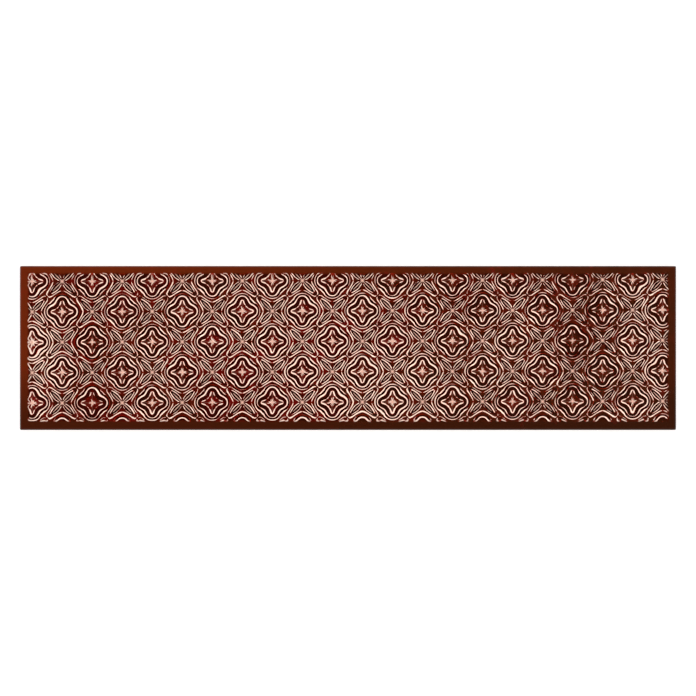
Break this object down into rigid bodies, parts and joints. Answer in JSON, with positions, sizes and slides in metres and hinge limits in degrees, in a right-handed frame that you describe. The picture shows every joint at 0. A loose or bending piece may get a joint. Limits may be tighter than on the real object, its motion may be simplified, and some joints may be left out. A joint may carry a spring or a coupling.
{
  "type": "relief wall tile",
  "caption": "Long rectangular glazed ceramic wall tile with a plain border, an all-over relief of four-pointed stars and four-petalled flowers, and a grooved back.",
  "frame": {"origin": "centre of the back face, the side that is bedded in adhesive", "axes": "+X along the tile, +Y across it towards the back edge of the field, +Z out of the glazed face"},
  "size_m": [0.3, 0.075, 0.008],
  "materials": {
    "red_glaze": "glossy"
  },
  "bodies": {
    "root": {"wall_tile": "red_glaze"}
  },
  "joints": []
}
